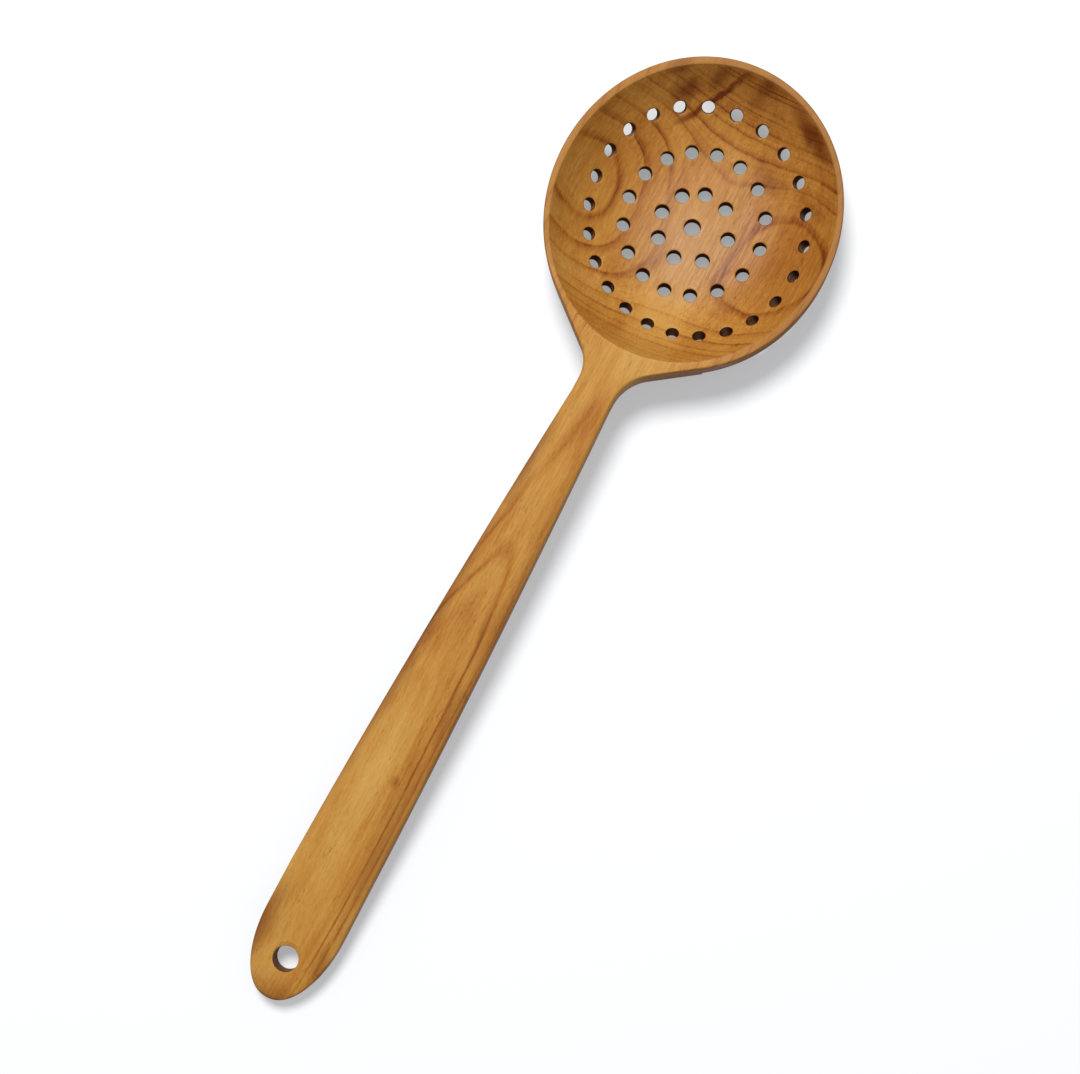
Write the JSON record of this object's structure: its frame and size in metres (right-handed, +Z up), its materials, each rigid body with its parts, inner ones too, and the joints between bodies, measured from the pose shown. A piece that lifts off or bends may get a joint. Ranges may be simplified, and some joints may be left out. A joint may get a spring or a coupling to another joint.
{
  "type": "wooden skimmer ladle",
  "caption": "Shallow oval wooden ladle bowl with rings of drain holes, a flared neck and a long flat handle with a hanging hole.",
  "frame": {"origin": "middle of the box's base, on the surface that the ladle lies on", "axes": "+Y along the ladle towards the bowl's front, +Z up out of the bowl's hollow, +X across"},
  "size_m": [0.0982, 0.35, 0.0232],
  "materials": {
    "wood": "oiled, satin"
  },
  "bodies": {
    "root": {"ladle": "wood"}
  },
  "joints": []
}
